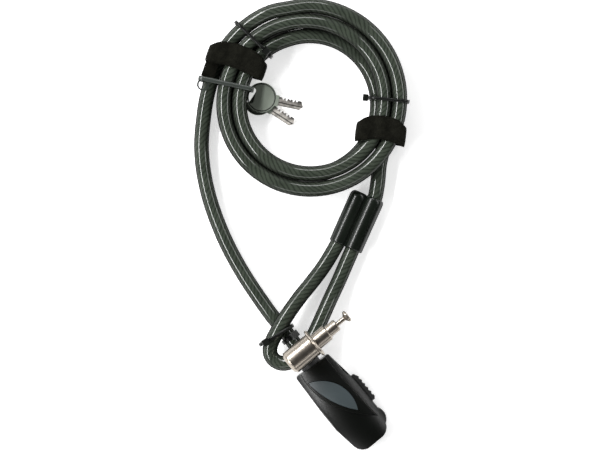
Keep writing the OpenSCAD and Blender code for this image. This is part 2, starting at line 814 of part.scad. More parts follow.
module locking_bolt() {
    color([0.8, 0.76, 0.72])
        pin_place()
            turned_x([[flange_x - spigot_len + 0.2, 0], [flange_x - spigot_len + 0.2, spigot_r - 0.02],
                [shank_x + 0.02, spigot_r - 0.02], [shank_x + 0.02, shank_r],
                [tip_x - edge, shank_r], [tip_x, shank_r - edge], [tip_x, tip_r],
                [neck_x - edge, tip_r], [neck_x, tip_r - edge], [neck_x, neck_r],
                [head_x, neck_r], [head_x + 1.6, head_r - 0.4], [head_x + 2.2, head_r],
                [head_x + head_t - 1, head_r], [head_x + head_t - 0.3, head_r - 0.6],
                [head_x + head_t, head_r - 1.6], [head_x + head_t, 0]]);
}

// ---------------------------------------------------------------- cable and sleeve

module cable_lead() {
    color([0.3, 0.33, 0.31])
        tube(lead_path, cable_r, tube_sides, [0, 1, 0], coil_heading(0));
}

module cable_coil() {
    color([0.3, 0.33, 0.31])
        tube(coil_path, cable_r, coil_sides, coil_heading(0), coil_heading(coil_turns));
}

module cable_tail() {
    color([0.3, 0.33, 0.31])
        tube(tail_path, cable_r, tube_sides, coil_heading(coil_turns), -sleeve_dir);
}

module cable_eye() {
    color([0.3, 0.33, 0.31])
        tube(eye_path, cable_r, tube_sides, -sleeve_dir, sleeve_dir);
}

module on_sleeve() {
    translate(sleeve_c)
        rotate([0, 0, sleeve_a])
            children();
}

module eye_sleeve() {
    half = sleeve_len / 2;
    color([0.07, 0.08, 0.08])
        on_sleeve()
            difference() {
                union() {
                    translate([0, -sleeve_off, 0])
                        turned_x([[-half, 0], [-half, sleeve_r - sleeve_edge], [sleeve_edge - half, sleeve_r],
                            [half - sleeve_edge, sleeve_r], [half, sleeve_r - sleeve_edge], [half, 0]]);
                    translate([0, sleeve_off, 0])
                        turned_x([[-half, 0], [-half, sleeve_r - sleeve_edge], [sleeve_edge - half, sleeve_r],
                            [half - 4, sleeve_r], [half - 1.4, sleeve_r - 1.4], [half - 0.3, sleeve_r - 3.6],
                            [half, 0]]);
                }
                crimp(0.1);
            }
}

module crimp(grow) {
    half = crimp_len / 2 + grow;
    for (side = [-1, 1])
        along_x(-half, side * sleeve_off, 0, crimp_r + grow, 2 * half);
    box([-half, -sleeve_off, -crimp_r / 2 - grow], [half, sleeve_off, crimp_r / 2 + grow]);
}

module crimp_ferrule() {
    color([0.7, 0.7, 0.72])
        on_sleeve()
            crimp(0);
}

// ---------------------------------------------------------------- straps and ties

module left_strap() {
    color([0.05, 0.05, 0.05])
        on_coil(left_wrap) {
            band(left_wrap[2], left_wrap[3], strap_t, strap_w, band_r);
            box([flap_x[0], flap_y[0], flap_z], [flap_x[1], flap_y[1], flap_z + strap_t]);
        }
}

module right_strap() {
    color([0.05, 0.05, 0.05])
        on_coil(right_wrap)
            band(right_wrap[2], right_wrap[3], strap_t, strap_w, band_r);
}

module top_tie() {
    color([0.06, 0.06, 0.06])
        on_coil(top_wrap) {
            band(top_wrap[2], top_wrap[3], tie_t, tie_w, band_r);
            tie_lock(top_wrap[2] + 5);
        }
}

module right_tie() {
    color([0.06, 0.06, 0.06])
        on_coil(right_tie_wrap) {
            band(right_tie_wrap[2], right_tie_wrap[3], tie_t, tie_w, band_r);
            translate([right_tie_wrap[2] - tie_t - tie_head[2] + head_sink, -tie_head[1] / 2, side_head_z])
                cube([tie_head[2], tie_head[1], tie_head[0]]);
        }
}

module key_tie() {
    color([0.25, 0.28, 0.26])
        on_coil(key_wrap) {
            band(key_wrap[2], key_wrap[3], tie_t, key_tie_w, key_band_r);
            // Slack end, bent round into a loop
            translate([key_wrap[3] + tie_t - key_loop_r, key_loop_r - head_sink, key_loop_z])
                difference() {
                    cylinder(r = key_loop_r, h = key_tie_w);
                    translate([0, 0, -1])
                        cylinder(r = key_loop_r - tie_t, h = key_tie_w + 2);
                }
        }
}

module crossing_tie() {
    color([0.06, 0.06, 0.06])
        translate([crossing_c[0], crossing_c[1], 0])
            rotate([0, 0, crossing_a]) {
                band(-crossing_half, crossing_half, tie_t, tie_w, band_r);
                tie_lock(5 - crossing_half);
            }
}

module lead_tie() {
    loop_r = cable_r + run_gap;
    color([0.06, 0.06, 0.06])
        translate(lead_tie_c)
            rotate([90, lead_tie_turn, 0])
                translate([0, 0, -key_tie_w / 2]) {
                    linear_extrude(key_tie_w)
                        difference() {
                            circle(r = loop_r + tie_t);
                            circle(r = loop_r);
                        }
                    translate([-tie_head[0] / 2, loop_r + tie_t - 0.3, -0.5])
                        cube([tie_head[0], tie_head[2], tie_head[1]]);
                }
}

// ---------------------------------------------------------------- keys

// Places a key so that the tie passes through its slot; the blade runs along X
module on_key(angle, z) {
    translate([key_pivot[0], key_pivot[1], z])
        rotate([0, 0, angle])
            translate([-key_hole[0], -key_hole[1], 0])
                children();
}

module blade_prism(grow) {
    translate([blade_root - grow, -blade_w / 2 - grow, bow_t / 2 - blade_t / 2 - grow])
        cube([bow_r, blade_w + 2 * grow, blade_t + 2 * grow]);
}

module key_bow(angle, z) {
    on_key(angle, z)
        difference() {
            union() {
                cylinder(r = bow_r, h = bow_t);
                translate([bow_r - 4, -blade_w / 2 - 1, 0])
                    cube([6, blade_w + 2, bow_t]);
            }
            translate([key_hole[0], 0, -1])
                linear_extrude(bow_t + 2)
                    rounded_rect([-key_hole_w / 2, -key_hole_l / 2], [key_hole_w / 2, key_hole_l / 2],
                        key_hole_w / 2 - 0.1);
            blade_prism(0.05);
        }
}

module key_blade(angle, z) {
    tip = key_len;
    start = bow_r + 4;
    step = (tip - 4 - start) / len(key_cuts);
    on_key(angle, z)
        translate([0, 0, bow_t / 2 - blade_t / 2])
            linear_extrude(blade_t)
                polygon(concat(
                    [[blade_root, -blade_w / 2], [tip - 2.5, -blade_w / 2], [tip, -0.6], [tip - 2, blade_w / 2]],
                    [for (i = [len(key_cuts) - 1 : -1 : 0])
                        each [[start + step * (i + 0.8), blade_w / 2], [start + step * (i + 0.6),
                            blade_w / 2 - key_cuts[i]], [start + step * (i + 0.3), blade_w / 2 - key_cuts[i]],
                            [start + step * (i + 0.1), blade_w / 2]]],
                    [[blade_root, blade_w / 2]]
                ));
}

module front_key_bow() {
    color([0.2, 0.21, 0.22])
        key_bow(front_key_a, front_key_z);
}

module front_key_blade() {
    color([0.7, 0.68, 0.64])
        key_blade(front_key_a, front_key_z);
}

module rear_key_bow() {
    color([0.16, 0.17, 0.18])
        key_bow(rear_key_a, rear_key_z);
}

module rear_key_blade() {
    color([0.6, 0.58, 0.55])
        key_blade(rear_key_a, rear_key_z);
}

front_shell();
rear_shell();
grip_inlay();
lock_core();
socket_bush();
housing_screws();
cable_collar();
cable_ferrule();
anchor_pin();
rail_plate();
cylinder_clip();
keyway_cover();
key_cylinder();
wafers();
cylinder_cam();
latch_slide();
latch_spring();
pin_barrel();
pin_flange();
locking_bolt();
cable_lead();
cable_coil();
cable_tail();
cable_eye();
eye_sleeve();
crimp_ferrule();
left_strap();
right_strap();
top_tie();
right_tie();
key_tie();
crossing_tie();
lead_tie();
front_key_bow();
front_key_blade();
rear_key_bow();
rear_key_blade();
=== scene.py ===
"""Looks for the keyed cable lock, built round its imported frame. Metres, row frame."""

import math
from collections import namedtuple

import bmesh
import bpy
from mathutils import Matrix, Vector, noise


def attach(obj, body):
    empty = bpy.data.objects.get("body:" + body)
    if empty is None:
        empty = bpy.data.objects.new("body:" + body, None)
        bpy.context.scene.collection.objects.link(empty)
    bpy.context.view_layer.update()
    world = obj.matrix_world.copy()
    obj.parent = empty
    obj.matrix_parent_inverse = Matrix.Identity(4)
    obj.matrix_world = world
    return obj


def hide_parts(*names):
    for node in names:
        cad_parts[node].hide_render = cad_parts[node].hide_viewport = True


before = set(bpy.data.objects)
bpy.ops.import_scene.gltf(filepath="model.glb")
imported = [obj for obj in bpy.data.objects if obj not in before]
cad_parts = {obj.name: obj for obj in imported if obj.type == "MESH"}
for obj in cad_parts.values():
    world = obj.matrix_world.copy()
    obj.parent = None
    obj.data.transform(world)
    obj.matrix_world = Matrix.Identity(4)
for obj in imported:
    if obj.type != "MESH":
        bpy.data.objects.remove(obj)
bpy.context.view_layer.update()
# Shapes are in millimetres up to the mesh; the camera, the lights and the floor are in metres.
MM = 0.001
Z = Vector((0, 0, 1))

# ---------------------------------------------------------------- camera and light

# The photograph looks straight down; its right and up directions in the row frame:
PHOTO_TURN = math.radians(-39.73)
RIGHT = Vector((math.cos(PHOTO_TURN), math.sin(PHOTO_TURN), 0))
UP = Vector((-RIGHT.y, RIGHT.x, 0))
# What the photograph's middle shows, and how wide the photograph is at that distance
CENTRE = Vector((64.8, 132.3, 14)) * MM
FAR = 2.2
PHOTO_WIDTH = 0.480
SENSOR_WIDTH = 36

cam_data = bpy.data.cameras.new("camera")
cam_data.sensor_width = SENSOR_WIDTH
cam_data.lens = SENSOR_WIDTH * FAR / PHOTO_WIDTH
cam = bpy.data.objects.new("camera", cam_data)
cam.matrix_world = Matrix((
    (RIGHT.x, UP.x, 0, CENTRE.x),
    (RIGHT.y, UP.y, 0, CENTRE.y),
    (RIGHT.z, UP.z, 1, CENTRE.z + FAR),
    (0, 0, 0, 1),
))
bpy.context.scene.collection.objects.link(cam)
bpy.context.scene.camera = cam


def strip_light(name, place, size, power):
    """A light aimed at the middle of the object; place is right, up and high in the photo."""
    data = bpy.data.lights.new(name, "AREA")
    data.shape = "RECTANGLE"
    data.size, data.size_y = size
    data.energy = power
    obj = bpy.data.objects.new(name, data)
    obj.location = CENTRE + RIGHT * place[0] + UP * place[1] + Z * place[2]
    obj.rotation_euler = (CENTRE - obj.location).to_track_quat("-Z", "Y").to_euler()
    bpy.context.scene.collection.objects.link(obj)


# Long and thin, because the photo's cable has narrow bright lines along it
strip_light("key", (-1.05, 0.15, 1.25), (2.3, 0.16), 34)
strip_light("rim", (1.25, 0.5, 0.9), (1.6, 0.2), 7)
strip_light("front", (0.2, -1.5, 0.9), (2.0, 0.3), 6)
strip_light("back", (-0.5, 1.4, 1.1), (1.8, 0.3), 14)

# Grey of the surroundings by height, from the horizon to overhead
WORLD_GREYS = [(0.05, 0.55), (0.55, 0.50), (0.92, 0.08)]
# Strength of the surroundings on the dim side and on the bright side, and the share of the
# way to either side over which it changes
WORLD_DIM, WORLD_BRIGHT = 0.08, 1.0
WORLD_REACH = 0.8


def fill_ramp(node, stops):
    """Sets the stops of a colour ramp, given as (position, grey or colour)."""
    elements = node.color_ramp.elements
    while len(elements) < len(stops):
        elements.new(0.5)
    for element, (position, colour) in zip(elements, stops):
        element.position = position
        element.color = (*colour, 1) if isinstance(colour, tuple) else (colour,) * 3 + (1,)


def surroundings():
    """Grey light from all round: dim overhead, and brighter to the photo's left and top."""
    world = bpy.data.worlds.new("world")
    bpy.context.scene.world = world
    world.use_nodes = True
    tree = world.node_tree
    tree.nodes.clear()
    out, background, grey, height, place, side, gain = (
        tree.nodes.new("ShaderNode" + kind)
        for kind in ("OutputWorld", "Background", "ValToRGB", "SeparateXYZ", "TexCoord",
                     "VectorMath", "MapRange"))
    fill_ramp(grey, WORLD_GREYS)
    side.operation = "DOT_PRODUCT"
    side.inputs[1].default_value = 0.8 * -RIGHT + 0.6 * UP
    gain.inputs["From Min"].default_value = -WORLD_REACH
    gain.inputs["From Max"].default_value = WORLD_REACH
    gain.inputs["To Min"].default_value = WORLD_DIM
    gain.inputs["To Max"].default_value = WORLD_BRIGHT
    for source, target in (
        (place.outputs["Generated"], height.inputs[0]),
        (height.outputs["Z"], grey.inputs[0]),
        (grey.outputs[0], background.inputs["Color"]),
        (background.outputs[0], out.inputs[0]),
        (place.outputs["Generated"], side.inputs[0]),
        (side.outputs["Value"], gain.inputs["Value"]),
        (gain.outputs[0], background.inputs["Strength"]),
    ):
        tree.links.new(source, target)


bpy.context.scene.view_settings.view_transform = "Standard"
surroundings()

# ---------------------------------------------------------------- materials


class Mat:
    """A material with a Principled shader and short helpers for its nodes."""

    def __init__(self, name, **shader):
        """The keywords are the shader's sockets, with _ for each space in their names."""
        self.mat = bpy.data.materials.new(name)
        self.mat.use_nodes = True
        self.tree = self.mat.node_tree
        self.tree.nodes.clear()
        out = self.tree.nodes.new("ShaderNodeOutputMaterial")
        self.bsdf = self.tree.nodes.new("ShaderNodeBsdfPrincipled")
        self.tree.links.new(self.bsdf.outputs[0], out.inputs[0])
        for key, value in shader.items():
            self.bsdf.inputs[key.replace("_", " ")].default_value = value

    def node(self, kind, **sets):
        n = self.tree.nodes.new("ShaderNode" + kind)
        for key, value in sets.items():
            setattr(n, key, value)
        return n

    def link(self, source, target):
        self.tree.links.new(source, target)

    def to(self, socket, source):
        """Links a source to one of the shader's sockets."""
        self.link(source, self.bsdf.inputs[socket])

    def position(self, scale=(1, 1, 1)):
        """The place on the object, stretched by scale."""
        tex = self.node("TexCoord")
        mapping = self.node("Mapping")
        mapping.inputs["Scale"].default_value = scale
        self.link(tex.outputs["Object"], mapping.inputs["Vector"])
        return mapping.outputs[0]

    def noise(self, vector, scale, detail=3.0, rough=0.55):
        n = self.node("TexNoise")
        n.inputs["Scale"].default_value = scale
        n.inputs["Detail"].default_value = detail
        n.inputs["Roughness"].default_value = rough
        self.link(vector, n.inputs["Vector"])
        return n.outputs["Fac"]

    def ramp(self, fac, stops):
        r = self.node("ValToRGB")
        fill_ramp(r, stops)
        self.link(fac, r.inputs[0])
        return r.outputs[0]

    def math(self, op, *values):
        """A Math node on numbers and outputs of other nodes."""
        n = self.node("Math", operation=op)
        for socket, value in zip(n.inputs, values):
            if isinstance(value, (int, float)):
                socket.default_value = value
            else:
                self.link(value, socket)
        return n.outputs[0]

    def multiply(self, a, b):
        """The product of two colours."""
        n = self.node("Mix", data_type="RGBA", blend_type="MULTIPLY")
        n.inputs[0].default_value = 1.0
        self.link(a, n.inputs[6])
        self.link(b, n.inputs[7])
        return n.outputs[2]

    def facing_up(self):
        """How flat the surface lies: 1 facing straight up or down, 0 where it is upright."""
        normal = self.node("SeparateXYZ")
        self.link(self.node("NewGeometry").outputs["True Normal"], normal.inputs[0])
        return self.math("ABSOLUTE", normal.outputs[2])

    def bump(self, height, strength, distance):
        n = self.node("Bump")
        n.inputs["Strength"].default_value = strength
        n.inputs["Distance"].default_value = distance
        self.link(height, n.inputs["Height"])
        self.to("Normal", n.outputs[0])


def scaled(colour, factor):
    return tuple(c * factor for c in colour)


def plastic(name, dark, light, rough, grain, grain_scale, coat=0.0, wear=0.05, spec=0.5):
    """Moulded plastic: fine grain, faint cloudiness, a touch of wear.

    A coat is left off towards upright sides, which would show the pale floor as a grey edge.
    """
    m = Mat(name, Coat_Weight=coat, Coat_Roughness=0.25, Specular_IOR_Level=spec)
    at = m.position()
    cloud = m.noise(at, 45, 4)
    m.to("Base Color", m.ramp(cloud, [(0.3, dark), (0.75, light)]))
    smudge = m.noise(at, 130, 5, 0.7)
    m.to("Roughness", m.ramp(smudge, [(0.25, max(rough - wear, 0.02)), (0.8, rough + wear)]))
    m.bump(m.noise(at, grain_scale, 2), grain, 0.00012)
    if coat:
        m.to("Coat Weight", m.ramp(m.facing_up(), [
            (0.0, 0.05 * coat), (0.3, 0.2 * coat), (0.6, coat)]))
    return m.mat


def metal(name, tint, rough, turned=0.0, grain=0.08):
    """Plated or bare metal, with faint turning marks round X where asked."""
    m = Mat(name, Metallic=1.0)
    at = m.position()
    blotch = m.noise(at, 60, 4)
    m.to("Base Color", m.ramp(blotch, [(0.3, scaled(tint, 0.9)), (0.7, tint)]))
    smudge = m.noise(at, 210, 4, 0.7)
    m.to("Roughness", m.ramp(smudge, [(0.3, rough * 0.9), (0.75, rough * 1.15)]))
    if turned:
        lines = m.noise(m.position((2600, 20, 20)), 1.0, 2)
        m.bump(lines, turned, 0.00006)
    elif grain:
        m.bump(m.noise(at, 1500, 2), grain, 0.00006)
    return m.mat


# The upright line that both keys hang on, how far along a key its bow's centre lies from
# there, and how far to the side the key's middle line does
KEY_PIVOT = Vector((104.872, 239.564, 0))
BOW_ALONG, KEY_ASIDE = 8, 4.2
# What the grooves are laid out on: a little wider than the blade
GROOVES_WIDE = 8
FRONT_KEY_A, REAR_KEY_A = -51.8, -73.0
# Painted shade across a blade, as brightness: dark edge, flat, dark milled groove, flat, darker
# towards the cut edge
BLADE_PAINTED_SHADE = [(0.06, 0.12), (0.16, 0.95), (0.30, 0.95), (0.34, 0.16), (0.42, 0.16),
               (0.46, 1.0), (0.66, 1.0), (0.78, 0.45), (0.94, 0.10)]


def key_metal(name, tint, rough, turn):
    """Plated key blank with painted shade along the blade: dark edges and a dark milled groove,
    the same pattern also used as a bump.
    """
    m = Mat(name, Metallic=1.0)
    a = math.radians(turn)
    across = Vector((-math.sin(a), math.cos(a), 0))
    middle = (KEY_PIVOT.dot(across) - KEY_ASIDE) * MM
    dot = m.node("VectorMath", operation="DOT_PRODUCT")
    dot.inputs[1].default_value = across
    m.link(m.node("TexCoord").outputs["Object"], dot.inputs[0])
    off_middle = m.math("SUBTRACT", dot.outputs["Value"], middle)
    side = m.math("ADD", m.math("MULTIPLY", off_middle, 1 / (GROOVES_WIDE * MM)), 0.5)
    # Painted shade across the blade, also the bump's height
    painted_shade_and_groove = m.ramp(side, BLADE_PAINTED_SHADE)
    blotch = m.noise(m.position(), 190, 4)
    m.to("Base Color", m.multiply(painted_shade_and_groove, m.ramp(blotch, [
        (0.35, scaled(tint, 0.5)), (0.6, tint)])))
    m.to("Roughness", m.ramp(blotch, [(0.3, rough * 0.8), (0.75, rough * 1.2)]))
    m.bump(painted_shade_and_groove, 0.4, 0.0002)
    return m.mat


# Strands and their wires: how many once round, and how many per circumference along
STRANDS, STRAND_TWIST = 9.0, 8.0
WIRES, WIRE_TWIST = 36.0, 6.0


def cable_material():
    """Twisted strands seen through a smoke jacket: faint dark strands under a smooth coat."""
    m = Mat("smoke_cable", Coat_Weight=1.0, Coat_Roughness=0.09, Coat_IOR=1.5,
            Coat_Tint=(0.60, 0.65, 0.60, 1), Specular_IOR_Level=0.0)
    uv = m.node("UVMap", uv_map="UVMap")
    sep = m.node("SeparateXYZ")
    m.link(uv.outputs[0], sep.inputs[0])
    # U runs once round; V counts circumferences along the cable.
    u, v = sep.outputs[0], sep.outputs[1]
    wander = m.noise(m.position(), 160, 2)
    strand_at = m.math("SUBTRACT", m.math("MULTIPLY", u, STRANDS),
                       m.math("MULTIPLY", v, STRAND_TWIST))
    strand_at = m.math("ADD", strand_at, m.math("MULTIPLY", wander, 0.9))
    strand = m.math("ABSOLUTE", m.math("SINE", m.math("MULTIPLY", strand_at, math.pi)))
    wire_at = m.math("ADD", m.math("MULTIPLY", u, WIRES), m.math("MULTIPLY", v, WIRE_TWIST))
    wire = m.math("ABSOLUTE", m.math("SINE", m.math("MULTIPLY", wire_at, math.pi)))
    drift = m.noise(m.position(), 70, 3)
    height = m.math("ADD", m.math("POWER", strand, 0.34), m.math("MULTIPLY", wire, 0.20))
    tone = m.math("MULTIPLY", height, m.math("ADD", m.math("MULTIPLY", drift, 0.7), 0.5))
    # Painted shade: the colour darkens towards the cable's upright sides, where the coat is also
    # left off.
    facing_up = m.facing_up()
    painted_side_shade = m.ramp(facing_up, [(0.0, 0.07), (0.35, 0.19), (0.6, 0.52), (0.85, 0.98)])
    m.to("Coat Weight", m.ramp(facing_up, [(0.0, 0.0), (0.45, 0.08), (0.68, 0.7), (0.82, 1.0)]))
    m.to("Base Color", m.multiply(painted_side_shade, m.ramp(tone, [
        (0.10, (0.014, 0.017, 0.013)), (0.45, (0.028, 0.034, 0.026)),
        (0.75, (0.054, 0.062, 0.050)), (1.0, (0.088, 0.099, 0.081))])))
    m.to("Roughness", m.ramp(tone, [(0.1, 0.6), (0.9, 0.42)]))
    m.bump(height, 0.18, 0.0004)
    return m.mat


def strap_material(name, tone):
    """Hook-and-loop webbing: short matt pile."""
    m = Mat(name, Roughness=0.95, Specular_IOR_Level=0.05)
    at = m.position()
    pile = m.noise(at, 1400, 5, 0.75)
    patch = m.noise(at, 160, 4, 0.6)
    both = m.math("MULTIPLY", m.math("ADD", pile, 0.4), m.math("ADD", patch, 0.45))
    m.to("Base Color", m.ramp(both, [
        (0.35, scaled(tone, 0.3)), (0.75, tone), (1.0, scaled(tone, 2.2))]))
    m.bump(both, 0.9, 0.0006)
    return m.mat


def floor_material():
    """White paper that glows a little, so that it comes out as white as the photo's ground."""
    m = Mat("paper", Roughness=0.9, Emission_Color=(1, 1, 1, 1), Emission_Strength=0.55)
    m.to("Base Color", m.ramp(m.noise(m.position(), 3, 2), [
        (0.3, (0.93, 0.93, 0.93)), (0.7, (0.96, 0.96, 0.96))]))
    return m.mat


# ---------------------------------------------------------------- mesh helpers


def new_object(name, bm, mat, smooth=True):
    me = bpy.data.meshes.new(name)
    bm.normal_update()
    bm.to_mesh(me)
    bm.free()
    me.materials.append(mat)
    for p in me.polygons:
        p.use_smooth = smooth
    obj = bpy.data.objects.new(name, me)
    bpy.context.scene.collection.objects.link(obj)
    return obj


def add_piece(name, bm, mat, nodes=(), body="lock", smooth=True):
    """A visible piece that rides on a body, in place of the CAD nodes that it is given."""
    obj = new_object(name, bm, mat, smooth)
    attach(obj, body)
    if nodes:
        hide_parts(*nodes)
    return obj


def join_rows(bm, rows, closed=False):
    """Faces between neighbouring rows of vertices, where each row goes once round.

    closed joins the last row to the first.
    """
    faces = []
    for a_row, b_row in zip(rows, rows[1:] + (rows[:1] if closed else [])):
        for k in range(len(a_row)):
            j = (k + 1) % len(a_row)
            faces.append(bm.faces.new((a_row[k], a_row[j], b_row[j], b_row[k])))
    return faces


def circle(centre, radius, ex, ey, sides):
    """Points round a circle in the plane of ex and ey."""
    turns = (2 * math.pi * k / sides for k in range(sides))
    return [centre + radius * (math.cos(a) * ex + math.sin(a) * ey) for a in turns]


def spline(points, step):
    """Catmull-Rom curve through the points, resampled at even steps."""
    pts = [Vector(p) for p in points]
    dense = []
    for i in range(len(pts) - 1):
        a, b = pts[max(i - 1, 0)], pts[i]
        c, d = pts[i + 1], pts[min(i + 2, len(pts) - 1)]
        for k in range(12):
            u = k / 12
            dense.append(0.5 * (2 * b + (c - a) * u + (2 * a - 5 * b + 4 * c - d) * u * u
                                + (3 * b - a - 3 * c + d) * u ** 3))
    dense.append(pts[-1])
    return even(dense, step)


def even(dense, step):
    """The same line with its points as near to step apart as its length allows."""
    lengths = [0.0]
    for a, b in zip(dense, dense[1:]):
        lengths.append(lengths[-1] + (b - a).length)
    count = max(2, round(lengths[-1] / step))
    out, j = [], 0
    for i in range(count + 1):
        s = lengths[-1] * i / count
        while j < len(dense) - 2 and lengths[j + 1] < s:
            j += 1
        span = lengths[j + 1] - lengths[j]
        out.append(dense[j].lerp(dense[j + 1], (s - lengths[j]) / span if span else 0))
    return out


def relax(path, times):
    """Rounds off the kinks of a path by averaging, with its ends held."""
    for _ in range(times):
        path = ([path[0]] + [(a + 2 * b + c) / 4 for a, b, c in zip(path, path[1:], path[2:])]
                + [path[-1]])
    return path


def path_length(path):
    return sum((b - a).length for a, b in zip(path, path[1:]))


def tube(path, radius, sides):
    """A closed tube with U once round and V counted in circumferences along it."""
    bm = bmesh.new()
    uv = bm.loops.layers.uv.new("UVMap")
    rings, along, s = [], [], 0.0
    for i, p in enumerate(path):
        t = (path[min(i + 1, len(path) - 1)] - path[max(i - 1, 0)]).normalized()
        if not i:
            normal = t.cross(Z).normalized()
        normal = (normal - t * normal.dot(t)).normalized()
        if i:
            s += (p - path[i - 1]).length
        along.append(s / (2 * math.pi * radius))
        rings.append([bm.verts.new(q) for q in circle(p, radius, normal, t.cross(normal), sides)])
    for index, face in enumerate(join_rows(bm, rings)):
        i, k = divmod(index, sides)
        for loop, turn, v in zip(face.loops, (k, k + 1, k + 1, k),
                                 (along[i], along[i], along[i + 1], along[i + 1])):
            loop[uv].uv = (turn / sides, v)
    bm.faces.new(list(reversed(rings[0])))
    bm.faces.new(rings[-1])
    return bm


def turned_ring(middle, profile, sides):
    """A ring: the closed profile of (radius, height) turned about the upright at middle."""
    bm = bmesh.new()
    rows = []
    for k in range(sides):
        a = 2 * math.pi * k / sides
        rows.append([bm.verts.new((middle + Vector((r * math.cos(a), r * math.sin(a), z))) * MM)
                     for r, z in profile])
    join_rows(bm, rows, closed=True)
    bmesh.ops.recalc_face_normals(bm, faces=bm.faces)
    return bm


# ---------------------------------------------------------------- the cable
# Its route is the one of part.scad.

CABLE_R = 6
EXIT = Vector((0, 43.5, 10))
# Coil: centre, radius, angle and height where it starts, distance between turns and layers
COIL_C = (132.7, 204.2)
COIL_R = 76.5
COIL_START_A = 50.3
COIL_LOW_Z = 8.0
PITCH = 12.45
TURNS = 3.306
# How far inside its outermost turn the coil ends, and where it turns from in to out for that
COIL_END_IN = 7.4
TURN_BACK = (TURNS + COIL_END_IN / PITCH) / 2
COIL_STEPS = 96
# Turns over which the lead climbs to the upper layer
CLIMB = 0.2
# Sleeve: centre, direction, half its length, and each barrel's distance from its axis
SLEEVE_C = Vector((101.7, 105.9, 7.8))
SLEEVE_A = math.radians(26.1)
SLEEVE_DIR = Vector((math.cos(SLEEVE_A), math.sin(SLEEVE_A), 0))
SLEEVE_RIGHT = Vector((math.sin(SLEEVE_A), -math.cos(SLEEVE_A), 0))
SLEEVE_HALF = 22.5
SLEEVE_OFF = 6.4
# How far past the sleeve's middle the cable's end reaches
CABLE_END = 10
# Steps along the route, and along the eye's tighter bends
ROUTE_STEP, EYE_STEP = 3, 2.5
# Steps along the cable in metres, while it is rounded off and in the mesh
FINE_STEP, CABLE_STEP = 0.0014, 0.0028
RELAX_TIMES = 10
CABLE_SIDES = 28


def ease(u):
    v = min(max(u, 0), 1)
    return v * v * (3 - 2 * v)


def coil_point(t):
    """The coil after t turns: its upper layer spirals in, and its lower one out again."""
    a = math.radians(COIL_START_A - 360 * t)
    r = COIL_R - PITCH * (t if t < TURN_BACK else 2 * TURN_BACK - t)
    return Vector((COIL_C[0] + r * math.cos(a), COIL_C[1] + r * math.sin(a),
                   COIL_LOW_Z + PITCH * ease(0.5 - 2 * (t - TURN_BACK))))


def lead_rise(t):
    """The lead's climb to the upper layer, just before the coil's first turn."""
    p = coil_point(t)
    return Vector((p.x, p.y, COIL_LOW_Z + PITCH * ease(1.15 + t / CLIMB)))


lead = [
    EXIT, (0, 54, 9.6), (0.8, 65, 8.5), (1.3, 76, 8), (0.9, 88.6, 8), (2.1, 106.4, 8),
    (4.4, 128.3, 8), (8.4, 151.1, 8), (14.1, 172.3, 8), (22, 193.8, 8), (32, 213.6, 8),
    (44.3, 231.4, 8), (58.2, 245.9, 8), (73.3, 259.3, 8),
] + [lead_rise(-CLIMB + i * CLIMB / 8) for i in range(7)]
rounds = round(COIL_STEPS * TURNS)
coil = [coil_point(i * TURNS / rounds) for i in range(rounds + 1)]
end_a = math.radians(COIL_START_A - 360 * TURNS)
coil_out = coil_point(TURNS) + 2 * CABLE_R * Vector((math.sin(end_a), -math.cos(end_a), 0))
barrel_shift = SLEEVE_OFF * SLEEVE_RIGHT
barrel_top = SLEEVE_C + SLEEVE_HALF * SLEEVE_DIR + barrel_shift
barrel_low = SLEEVE_C - SLEEVE_HALF * SLEEVE_DIR + barrel_shift
closed_low = SLEEVE_C - SLEEVE_HALF * SLEEVE_DIR - barrel_shift
closed_in = SLEEVE_C + CABLE_END * SLEEVE_DIR - barrel_shift
tail = [coil_out, (151.3, 133.9, 8), (144.2, 128.4, 8), (135.2, 119.2, 7.9), barrel_top]
eye = [
    barrel_low, (73, 84.6, 8), (60, 78, 8.6), (45, 71, 11), (27, 62.2, 15.8),
    (14.5, 56.6, 18.8), (0, 53.4, 22), (-11, 53, 20.6), (-18.2, 57.4, 18.6),
    (-20.6, 65.4, 17.8), (-16.4, 72.6, 18.6), (-7, 77.2, 20.4), (4.5, 81.6, 20.9),
    (25, 87.4, 17), (45, 91.4, 12), (61, 95.4, 9), closed_low,
]

route = (spline(lead, ROUTE_STEP)[:-1] + coil + spline(tail, ROUTE_STEP)[:-1]
         + spline([barrel_top, barrel_low], ROUTE_STEP)[:-1] + spline(eye, EYE_STEP)[:-1]
         + spline([closed_low, closed_in], ROUTE_STEP))
path = even(relax(even([p * MM for p in route], FINE_STEP), RELAX_TIMES), CABLE_STEP)
cable = add_piece("cable_jacket", tube(path, CABLE_R * MM, CABLE_SIDES), cable_material(),
                  ["cable_lead", "cable_coil", "cable_tail", "cable_eye"])

# ---------------------------------------------------------------- straps and ties

# A band round the cable: its angle, its offset along the cable, and where it starts and ends
# inside, measured outwards from the centre
Band = namedtuple("Band", "angle offset start end centre", defaults=(COIL_C,))
LEFT_STRAP = Band(120.8, -12.7, 41.6, 87)
RIGHT_STRAP = Band(-46.6, -16.2, 42.4, 79.4)
TOP_TIE = Band(96, -5.1, 46.2, 85)
RIGHT_TIE = Band(-45.5, 7.7, 48.7, 79.6)
KEY_TIE = Band(128.2, 0, 45.6, 88)
CROSSING_TIE = Band(-9, 0, -14.7, 14.7, (-6, 76.7))
# Heights of every band's inside, and the steps along its straight stretches
BAND_LOW, BAND_TOP = 1.7, 26.75
BAND_STEP = 1.5
# Widths and thicknesses
STRAP_W, STRAP_T = 19, 1.7
TIE_W, TIE_T = 2.6, 1.2
KEY_TIE_W = 3.6
# Loose end of the left strap: its size, and its middle outwards, along the cable and up
FLAP, FLAP_AT = (10.5, 16, 1.8), (82.2, 13.5, 16.9)
# Head of a tie and its cut tail: along the tie, across it, and their height
HEAD, TAIL = (6, 5.4, 4.4), (2.4, 2.6, 1.2)
HEAD_SINK = 0.2
HEAD_BEVEL, TAIL_BEVEL = 0.7, 0.2
# From the start of a band to the middle of the head on top of it
HEAD_IN = 5
